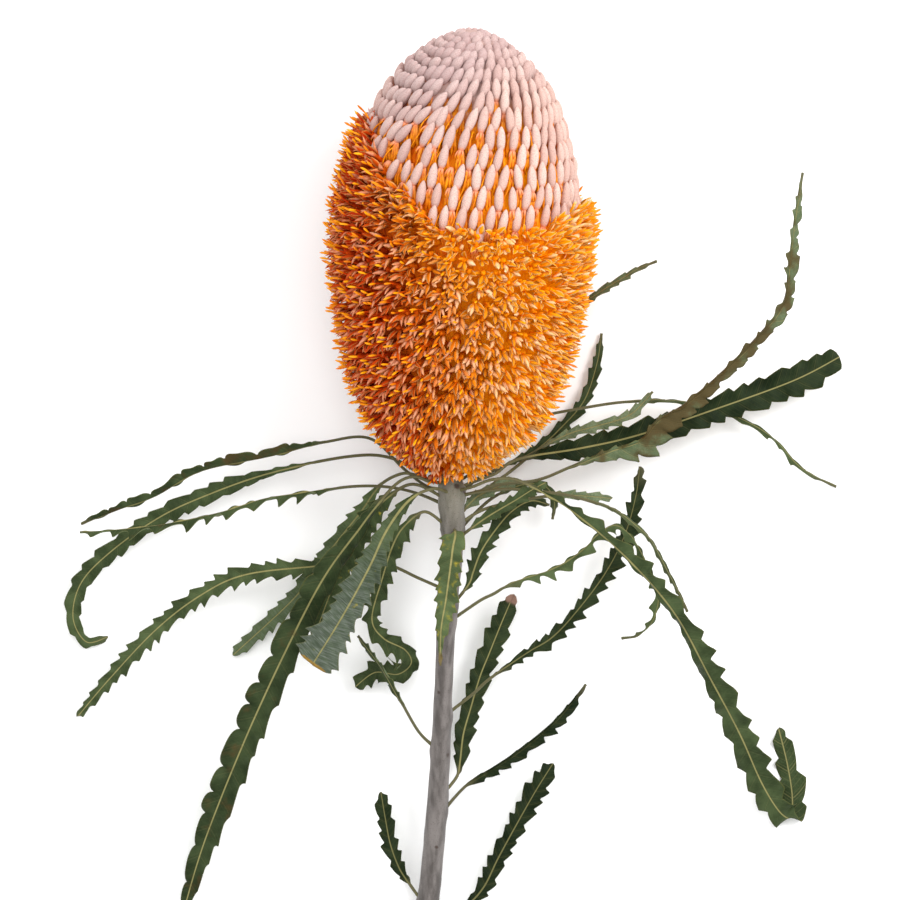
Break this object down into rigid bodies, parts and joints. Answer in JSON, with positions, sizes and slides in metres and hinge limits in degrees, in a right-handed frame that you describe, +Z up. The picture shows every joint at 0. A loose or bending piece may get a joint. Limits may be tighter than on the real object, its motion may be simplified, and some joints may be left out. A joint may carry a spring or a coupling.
{
  "type": "cut banksia flower",
  "caption": "Cut banksia flower lying on a surface: a barrel-shaped orange flower head with pale unopened buds on top, a downy stem and long toothed leaves.",
  "frame": {"origin": "the flat spot under the flower head on which the flower rests", "axes": "+Z up from the surface, +Y from the cut end of the stem to the top of the head, +X to the right"},
  "size_m": [0.2365, 0.2758, 0.082],
  "materials": {
    "open_floret": "soft matt orange",
    "bud": "velvety, matt",
    "bark": "downy, matt",
    "leaf": "leathery, satin"
  },
  "bodies": {
    "root": {"open_florets": "open_floret", "unopened_buds": "bud", "stem": "bark", "leaf_left_1": "leaf", "leaf_left_2": "leaf", "leaf_left_3": "leaf", "leaf_left_4": "leaf", "leaf_left_5": "leaf", "leaf_left_6": "leaf", "leaf_left_7": "leaf", "leaf_left_8": "leaf", "leaf_left_9": "leaf", "leaf_left_10": "leaf", "leaf_left_11": "leaf", "leaf_right_1": "leaf", "leaf_right_2": "leaf", "leaf_right_3": "leaf", "leaf_right_4": "leaf", "leaf_right_5": "leaf", "leaf_right_6": "leaf", "leaf_right_7": "leaf", "leaf_right_8": "leaf", "leaf_right_9": "leaf", "leaf_right_10": "leaf", "leaf_right_11": "leaf", "leaf_right_12": "leaf", "leaf_right_13": "leaf", "leaf_right_14": "leaf", "leaf_right_15": "leaf", "leaf_right_16": "leaf", "leaf_right_17": "leaf", "leaf_right_18": "leaf", "leaf_right_19": "leaf"}
  },
  "joints": []
}
